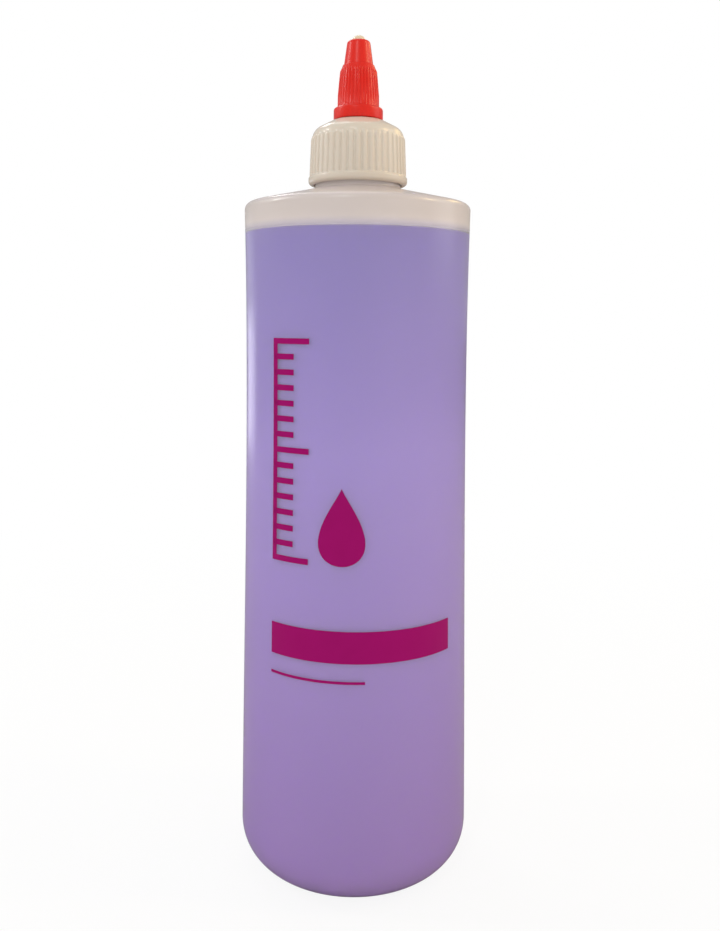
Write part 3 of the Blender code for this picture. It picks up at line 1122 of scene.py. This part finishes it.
@dataclass
class ScreenPrint:
    """The one-colour print on the bottle's front.

    Places are measured along the skin from the middle of the front, and up from the table.
    """

    radius: float = 31.4 * MM
    left: float = -24.1 * MM
    banner_width: float = 53.0 * MM
    banner_foot: float = 64.3 * MM
    banner_height: float = 8.2 * MM
    rule_width: float = 26.9 * MM
    rule_height: float = 0.7 * MM
    rule_foot: float = 59.1 * MM
    ladder_foot: float = 89.6 * MM
    ladder_height: float = 56.6 * MM
    ladder_stroke: float = 1.5 * MM
    marks: int = 15
    long_every: int = 7
    long_mark: float = 11.6 * MM
    short_mark: float = 7.0 * MM
    drop_left: float = -9.6 * MM
    drop_width: float = 12.1 * MM
    drop_foot: float = 89.0 * MM
    drop_height: float = 19.9 * MM
    drop_shape_width: float = 1.4
    drop_shape_height: float = 2.0
    sunk: float = 0.015 * MM
    film: float = 0.045 * MM

    @staticmethod
    def middle(left: float, foot: float, width: float, height: float) -> tuple[float, float, float]:
        """Middle of a mark that has this left edge and foot."""
        return (left + width / 2, foot + height / 2, 0.0)

    def build(self, shell: bpy.types.Object, ink: MouldedPlastic) -> None:
        """Makes and dresses the print.

        Args:
            shell: The shell that it is printed on.
            ink: The finish of the ink.
        """
        banner = (self.banner_width, self.banner_height)
        rule = (self.rule_width, self.rule_height)
        drop = (self.drop_width, self.drop_height)
        values = {
            "Banner Size": (*banner, 0.0),
            "Banner Middle": self.middle(self.left, self.banner_foot, *banner),
            "Rule Size": (*rule, 0.0),
            "Rule Middle": self.middle(self.left, self.rule_foot, *rule),
            "Ladder Foot": (self.left, self.ladder_foot, 0.0),
            "Ladder Height": self.ladder_height,
            "Ladder Stroke": self.ladder_stroke,
            "Marks": self.marks,
            "Long Mark": self.long_mark,
            "Short Mark": self.short_mark,
            "Long Every": self.long_every,
            "Drop Size": (drop[0] / self.drop_shape_width, drop[1] / self.drop_shape_height, 1.0),
            "Drop Middle": self.middle(self.drop_left, self.drop_foot, *drop),
            "Shell": shell,
            "Radius": self.radius,
            "Sunk": self.sunk,
            "Film": self.film,
            "Ink": ink.make(),
        }
        film = PrintTree().grow("printed_film", bpy.data.meshes.new("print"), values)
        mount(film, Body.BOTTLE, None)


@dataclass
class ScrewCap:
    """The ribbed screw cap with its nozzle and sealing pin, and the liner ring under it."""

    turning: TurningTree
    bottle: Bottle
    foot: float
    pin_top: float
    spout_foot: float
    liner_foot: float
    liner_top: float
    gap: float = 0.3 * MM
    bore: float = 12.1 * MM
    skirt_wall: float = 0.9 * MM
    skirt_draft: float = 0.45 * MM
    bead_wall: float = 1.5 * MM
    bead_lip: float = 0.6 * MM
    bead_flare: float = 0.6 * MM
    bead_round: float = 0.6 * MM
    bead_foot_round: float = 1.1 * MM
    mouth: float = 12.6 * MM
    mouth_relief: float = 0.6 * MM
    lip_land: float = 3.0 * MM
    deck_crown: float = 3.25 * MM
    deck_wall: float = 1.3 * MM
    deck_rise: float = math.tan(math.radians(28))
    deck_round: float = 3.6 * MM
    deck_edge: float = 7.5 * MM
    ribs: int = 44
    rib_depth: float = 0.35 * MM
    rib_drop: float = 4.4 * MM
    rib_fade: float = 0.8 * MM
    rib_segments: int = 10
    rib_step: float = 0.4 * MM
    liner_radius: float = 11.1 * MM
    liner_bore: float = 9.5 * MM
    thread_depth: float = 0.95 * MM
    thread_step: float = 0.25 * MM
    thread_drop: float = 8.2 * MM
    thread_turns: float = 1.4
    thread_crest: float = 0.6 * MM
    thread_root: float = 1.5 * MM
    nozzle_radius: float = 3.8 * MM
    nozzle_wall: float = 0.8 * MM
    nozzle_top: float = 10.8 * MM
    nozzle_top_wall: float = 1.2 * MM
    nozzle_thread_depth: float = 0.4 * MM
    nozzle_thread_foot: float = 5.8 * MM
    nozzle_thread_turns: float = 0.7
    nozzle_thread_crest: float = 0.6 * MM
    nozzle_thread_root: float = 1.3 * MM
    pin_radius: float = 1.9 * MM
    pin_dome: float = 1.6 * MM
    edge: float = 0.2 * MM
    liner_segments: int = 120

    @property
    def seat(self) -> float:
        """Height of the face that presses on the liner."""
        return self.liner_top + self.gap

    @property
    def crown(self) -> float:
        """Height of the deck's flat middle."""
        return self.seat + self.deck_crown

    @property
    def nozzle_end(self) -> float:
        """Height of the nozzle's top."""
        return self.spout_foot + self.nozzle_top

    @property
    def relief(self) -> float:
        """Height where the widened mouth ends."""
        return self.bottle.ring_top + self.mouth_relief

    def outside(self) -> list[OutlinePoint]:
        """Outline of the cap's outside.

        Returns:
            Points from the pin's end down to the mouth, with the ribs and the nozzle's thread on them.
        """
        edge = self.edge
        bead = self.relief + self.bead_lip
        bead_radius = self.mouth + self.bead_wall
        side = self.bore + self.skirt_wall
        side_foot = side + self.skirt_draft
        deck_foot = self.crown - (side - self.deck_edge) * self.deck_rise
        points = trace(
            [
                Corner(0, self.pin_top),
                Corner(self.pin_radius, self.pin_top, self.pin_dome),
                Corner(self.pin_radius, self.nozzle_end, edge),
                Corner(self.nozzle_radius, self.nozzle_end, 2 * edge),
                Corner(self.nozzle_radius, self.crown, edge, self.thread_step),
                Corner(self.deck_edge, self.crown, 3 * edge),
                Corner(side, deck_foot, self.deck_round),
                Corner(side_foot, bead + self.bead_flare, edge, self.rib_step),
                Corner(bead_radius, bead, self.bead_round, self.rib_step),
                Corner(bead_radius, self.foot, self.bead_foot_round),
                Corner(self.mouth, self.foot),
            ]
        )
        rib_end = self.crown - self.rib_drop
        crest = side_foot + self.rib_depth
        thread = Thread(
            depth=self.nozzle_thread_depth,
            foot=self.spout_foot + self.nozzle_thread_foot,
            lead=SPOUT_LEAD,
            starts=SPOUT_STARTS,
            turns=self.nozzle_thread_turns,
            crest=self.nozzle_thread_crest,
            root=self.nozzle_thread_root,
        )
        thread_top = self.nozzle_end - 2 * edge
        for point in points:
            if bead < point.height < rib_end and point.radius < crest:
                end = min(1.0, (rib_end - point.height) / self.rib_fade)
                point.rib = min(self.rib_depth * end, crest - point.radius)
            if self.crown + edge < point.height < thread_top and point.radius >= self.nozzle_radius:
                point.thread = thread
        return points

    def inside(self) -> list[OutlinePoint]:
        """Outline of the cap's inside.

        Returns:
            Points from the mouth up into the nozzle, with the thread in the bore on them.
        """
        edge, lip, neck_bore = self.edge, self.bottle.lip, self.bottle.neck_bore
        pocket = self.liner_radius + self.gap
        under_crown = self.crown - self.deck_wall
        nozzle_bore = self.nozzle_radius - self.nozzle_wall
        nozzle_roof = self.nozzle_end - self.nozzle_top_wall
        thread_top = lip - self.lip_land
        points = trace(
            [
                Corner(self.mouth, self.foot),
                Corner(self.mouth, self.relief, edge),
                Corner(self.bore, self.relief + self.mouth - self.bore, edge),
                Corner(self.bore, thread_top, edge, self.thread_step),
                Corner(pocket, lip, edge),
                Corner(pocket, self.seat, edge),
                Corner(neck_bore, self.seat, edge),
                Corner(neck_bore - (under_crown - self.seat) / self.deck_rise, under_crown, edge),
                Corner(nozzle_bore, under_crown, edge),
                Corner(nozzle_bore, nozzle_roof, edge),
                Corner(0, nozzle_roof),
            ]
        )
        thread = Thread(
            depth=-self.thread_depth,
            foot=lip - self.thread_drop,
            lead=self.bottle.thread_lead,
            turns=self.thread_turns,
            crest=self.thread_crest,
            root=self.thread_root,
        )
        for point in points:
            if self.relief + edge < point.height < thread_top and point.radius <= self.bore:
                point.thread = thread
        return points

    def build(self, plastic: MouldedPlastic, foam: MouldedPlastic) -> None:
        """Makes and dresses the cap and its liner.

        Args:
            plastic: The cap's finish.
            foam: The liner's finish.
        """
        outline = self.outside() + self.inside()[1:]
        segments = self.ribs * self.rib_segments
        cap = self.turning.turn("screw_cap", outline, segments, plastic.make(), ribs=Ribs(self.ribs))
        mount(cap, Body.CAP, Slot.CAP, "base_cap")
        ring = ring_outline(self.liner_bore, self.liner_radius, self.liner_foot, self.liner_top, self.edge)
        liner = self.turning.turn("liner_ring", ring, self.liner_segments, foam.make())
        mount(liner, Body.LINER, Slot.FOAM, "cap_liner")


@dataclass
class TwistSpout:
    """The twist spout with its ribbed grip, and the wiper ring in its groove."""

    turning: TurningTree
    foot: float
    rim: float
    seal_foot: float
    seal_top: float
    collar_radius: float = 7.05 * MM
    collar_height: float = 3.5 * MM
    collar_round: float = 0.8 * MM
    grip_foot_radius: float = 6.2 * MM
    grip_top_radius: float = 5.3 * MM
    grip_height: float = 12.2 * MM
    grip_ledge: float = 0.3 * MM
    grip_shoulder: float = 1.5 * MM
    grip_round: float = 3.0 * MM
    ribs: int = 36
    rib_depth: float = 0.25 * MM
    rib_fade: float = 1.0 * MM
    rib_segments: int = 10
    rib_step: float = 0.3 * MM
    tip_foot_radius: float = 4.2 * MM
    tip_top_radius: float = 3.25 * MM
    tip_round: float = 1.0 * MM
    tip_bore: float = 2.9 * MM
    thread_depth: float = 0.4 * MM
    thread_rise: float = 1.7 * MM
    thread_step: float = 0.25 * MM
    thread_turns: float = 0.6
    thread_crest: float = 0.5 * MM
    thread_root: float = 1.2 * MM
    orifice: float = 2.2 * MM
    orifice_land: float = 1.8 * MM
    bore: float = 4.35 * MM
    bore_crown: float = 3.7 * MM
    groove_radius: float = 5.3 * MM
    seal_bore: float = 4.1 * MM
    seal_width: float = 0.9 * MM
    gap: float = 0.3 * MM
    edge: float = 0.2 * MM
    seal_segments: int = 120

    def outline(self) -> list[OutlinePoint]:
        """Outline of the spout, down its outside and up its bore.

        Returns:
            Points with the grip's ribs and the thread in the bore on them.
        """
        edge = self.edge
        collar_top = self.foot + self.collar_height
        grip_top = collar_top + self.grip_height
        root_foot = self.grip_foot_radius - self.rib_depth
        root_top = self.grip_top_radius - self.rib_depth
        ledge = self.tip_foot_radius + self.grip_ledge
        shoulder = grip_top - self.grip_shoulder
        bore_top = grip_top - self.bore_crown
        land_foot = self.rim - self.orifice_land
        groove_foot = self.seal_foot - self.gap
        groove_top = self.seal_top + self.gap
        points = trace(
            [
                Corner(self.orifice, self.rim, edge),
                Corner(self.tip_top_radius, self.rim, self.tip_round),
                Corner(self.tip_foot_radius, grip_top),
                Corner(ledge, grip_top, edge),
                Corner(root_top, shoulder, self.grip_round, self.rib_step),
                Corner(root_foot, collar_top, edge / 2),
                Corner(self.collar_radius, collar_top, self.collar_round),
                Corner(self.collar_radius, self.foot, edge),
                Corner(self.bore, self.foot, edge),
                Corner(self.bore, groove_foot, edge / 2),
                Corner(self.groove_radius, groove_foot, edge),
                Corner(self.groove_radius, groove_top, edge),
                Corner(self.bore, groove_top, edge / 2),
                Corner(self.bore, bore_top, edge, self.thread_step),
                Corner(self.tip_bore, bore_top + self.bore - self.tip_bore, edge),
                Corner(self.tip_bore, land_foot - (self.tip_bore - self.orifice), edge),
                Corner(self.orifice, land_foot, edge),
            ],
            closed=True,
        )
        rib_end = shoulder + self.rib_fade / 2
        thread = Thread(
            depth=-self.thread_depth,
            foot=groove_top + self.thread_rise,
            lead=SPOUT_LEAD,
            starts=SPOUT_STARTS,
            turns=self.thread_turns,
            crest=self.thread_crest,
            root=self.thread_root,
        )
        for point in points:
            if collar_top + edge < point.height < rib_end and point.radius > ledge:
                point.rib = self.rib_depth * min(1.0, (rib_end - point.height) / self.rib_fade)
            if groove_top + edge < point.height < bore_top - edge and point.radius <= self.bore:
                point.thread = thread
        return points

    def build(self, plastic: MouldedPlastic, soft: MouldedPlastic) -> None:
        """Makes and dresses the spout and its wiper ring.

        Args:
            plastic: The spout's finish.
            soft: The ring's finish.
        """
        segments = self.ribs * self.rib_segments
        spout = self.turning.turn(
            "spout_body", self.outline(), segments, plastic.make(), ribs=Ribs(self.ribs)
        )
        mount(spout, Body.SPOUT, Slot.SPOUT, "twist_spout")
        seal_radius = self.seal_bore + self.seal_width
        ring = ring_outline(self.seal_bore, seal_radius, self.seal_foot, self.seal_top, self.edge)
        seal = self.turning.turn("wiper_ring", ring, self.seal_segments, soft.make())
        mount(seal, Body.SEAL, Slot.SEAL, "spout_seal")


@dataclass(frozen=True)
class Lamp:
    """A soft box: where it stands and points, its size, power and colour, and whether gloss mirrors it."""

    name: str
    place: tuple[float, float, float]
    target: tuple[float, float, float]
    width: float
    height: float
    watts: float
    colour: str = "#FFFFFF"
    mirrored: bool = True

    def make(self) -> None:
        """Adds the soft box to the scene."""
        light = bpy.data.lights.new(self.name, "AREA")
        light.shape = "RECTANGLE"
        light.size = self.width
        light.size_y = self.height
        light.energy = self.watts
        light.color = linear(self.colour)[:3]
        lamp = bpy.data.objects.new(self.name, light)
        aim = Vector(self.target) - Vector(self.place)
        lamp.location = self.place
        lamp.rotation_euler = aim.to_track_quat("-Z", "Y").to_euler()
        lamp.visible_camera = False
        lamp.visible_transmission = False
        lamp.visible_glossy = self.mirrored
        bpy.context.scene.collection.objects.link(lamp)


@dataclass
class Studio:
    """The pale floor, the soft boxes, the world and the camera at the photograph's angle."""

    eye_height: float = 152.9 * MM
    distance: float = 268.3 * MM
    lens: float = 36.22
    sensor: float = 36.0
    shift_up: float = -0.15
    shift_side: float = 0.0035
    pitch: float = math.radians(0.62)
    roll: float = math.radians(0.42)
    nearest: float = 1 * MM
    floor_radius: float = 6.0
    floor_sides: int = 96
    floor_colour: str = "#F4F3F1"
    mirrored_floor: str = "#A5A19F"
    shadow_reach: float = 0.05
    white_from: float = 0.45
    near_white: float = 0.9
    world_strength: float = 0.5
    mirrored_strength: float = 0.4
    through_strength: float = 1.40
    seen_strength: float = 1.0
    lamps: Sequence[Lamp] = field(
        default_factory=lambda: (
            Lamp("window_box", (-0.52, 0.58, 0.08), (0, 0, 0.13), 0.34, 0.14, 0.29, "#F4F4FC"),
            Lamp("transom_box", (-0.52, 0.58, 0.21), (0, 0, 0.16), 0.34, 0.08, 0.045, "#F4F1F6"),
            Lamp("front_box", (-0.19, -0.64, 0.70), (0, 0, 0.18), 0.08, 0.30, 1.0),
            Lamp("side_box", (-0.70, 0.02, 0.60), (0, 0, 0.20), 0.10, 0.30, 1.2),
            Lamp("warm_box", (0.64, -0.10, 0.60), (0, 0, 0.18), 0.12, 0.30, 1.2, "#FFDDA2"),
            Lamp("ceiling_box", (-0.10, 0.35, 1.05), (0, 0, 0.19), 0.50, 0.30, 1.2),
            Lamp("brow_box", (-0.32, 0.60, 0.80), (0, 0, 0.19), 0.30, 0.15, 0.9),
            Lamp("brow_warm_box", (0.50, 0.43, 0.56), (0, 0, 0.19), 0.28, 0.10, 0.45, "#FFDC92"),
            Lamp("left_box", (-0.87, 0.20, 0.55), (0, 0, 0.15), 0.50, 0.60, 0.7),
            Lamp("right_box", (0.87, 0.10, 0.50), (0, 0, 0.14), 0.50, 0.60, 1.2),
            Lamp("fill_box", (0.05, -0.95, 0.11), (0, 0, 0.16), 2.2, 0.20, 2.6, mirrored=False),
        )
    )

    def build(self) -> None:
        """Makes the floor, the light and the camera."""
        self._floor()
        self._world()
        for lamp in self.lamps:
            lamp.make()
        self._camera()

    def _floor(self) -> None:
        """Makes a round pale floor that keeps the object's shadow and fades to white away from it."""
        mesh = bpy.data.meshes.new("floor")
        angles = [math.tau * k / self.floor_sides for k in range(self.floor_sides)]
        rim = [(self.floor_radius * math.cos(a), self.floor_radius * math.sin(a), 0) for a in angles]
        mesh.from_pydata(rim, [], [range(self.floor_sides)])
        mesh.materials.append(self._floor_material())
        floor = bpy.data.objects.new("floor", mesh)
        bpy.context.scene.collection.objects.link(floor)

    def _floor_material(self) -> bpy.types.Material:
        """Builds the floor's finish, matt and pale, which shows as white to the camera further out.

        Returns:
            A material that gloss mirrors a little darker.
        """
        material = new_material("pale_studio_floor")
        tree = material.node_tree
        tree.nodes.clear()
        add = partial(add_node, tree)
        place = add("ShaderNodeTexCoord").outputs["Object"]
        reach = add(VECTOR_MATH, place, operation="LENGTH").outputs["Value"]
        fade = (self.shadow_reach, self.white_from, self.near_white, 1.0)
        far = add(MAP_RANGE, reach, *fade, interpolation_type="SMOOTHSTEP")
        path = add("ShaderNodeLightPath").outputs
        share = add(MATH, far, path["Is Camera Ray"], operation="MULTIPLY")
        rays = (path["Is Glossy Ray"], path["Is Transmission Ray"])
        mirrored = add(MATH, *rays, operation="SUBTRACT", use_clamp=True)
        tints = {0: mirrored, 6: linear(self.floor_colour), 7: linear(self.mirrored_floor)}
        tint = add("ShaderNodeMix", inputs=tints, data_type="RGBA").outputs[2]
        matt = add("ShaderNodeBsdfDiffuse", tint)
        white = add("ShaderNodeEmission", (1, 1, 1, 1), self.seen_strength)
        add("ShaderNodeOutputMaterial", add("ShaderNodeMixShader", share, matt, white))
        return material

    def _world(self) -> None:
        """Sets a plain white world that shows as white and lights softly."""
        world = bpy.data.worlds.new("studio")
        world.use_nodes = True
        tree = world.node_tree
        tree.nodes.clear()
        add = partial(add_node, tree)
        path = add("ShaderNodeLightPath").outputs
        strength: Source | float = self.world_strength
        strengths = {
            "Is Glossy Ray": self.mirrored_strength,
            "Is Transmission Ray": self.through_strength,
            "Is Camera Ray": self.seen_strength,
        }
        for ray, other in strengths.items():
            strength = add(MAP_RANGE, path[ray], inputs={"To Min": strength, "To Max": other})
        add("ShaderNodeOutputWorld", add("ShaderNodeBackground", (1, 1, 1, 1), strength))
        bpy.context.scene.world = world

    def _camera(self) -> None:
        """Sets the camera in front of the bottle, just under its shoulder."""
        data = bpy.data.cameras.new("camera")
        data.lens = self.lens
        data.sensor_width = self.sensor
        data.shift_x = self.shift_side
        data.shift_y = self.shift_up
        data.clip_start = self.nearest
        camera = bpy.data.objects.new("camera", data)
        tilt = Matrix.Rotation(math.pi / 2 - self.pitch, 4, "X") @ Matrix.Rotation(self.roll, 4, "Z")
        camera.matrix_world = Matrix.Translation((0, -self.distance, self.eye_height)) @ tilt
        bpy.context.scene.collection.objects.link(camera)
        bpy.context.scene.camera = camera


def corners(box: tuple[Vector, Vector]) -> list[list[float]]:
    """A box's two corners as plain lists."""
    return [list(corner) for corner in box]


def main() -> None:
    """Loads the frame, builds and dresses each sub-assembly and sets the studio."""
    logging.basicConfig(level=logging.INFO, format="%(name)s: %(message)s")
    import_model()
    bpy.context.scene.view_settings.view_transform = "Standard"
    turning = TurningTree()
    bottle = Bottle(turning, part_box("bottle")[1].z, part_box("oil_fill")[1].z)
    shell = bottle.build(NATURAL_HDPE, WETTED_HDPE, DyedOil())
    ScreenPrint().build(shell, MAGENTA_INK)
    cap_low, cap_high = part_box("base_cap")
    spout_low, spout_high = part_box("twist_spout")
    liner_low, liner_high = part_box("cap_liner")
    seal_low, seal_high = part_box("spout_seal")
    cap = ScrewCap(turning, bottle, cap_low.z, cap_high.z, spout_low.z, liner_low.z, liner_high.z)
    cap.build(WHITE_POLYPROPYLENE, POLYETHYLENE_FOAM)
    spout = TwistSpout(turning, spout_low.z, spout_high.z, seal_low.z, seal_high.z)
    spout.build(RED_POLYETHYLENE, SOFT_POLYETHYLENE)
    Studio().build()


if __name__ == "__main__":
    main()
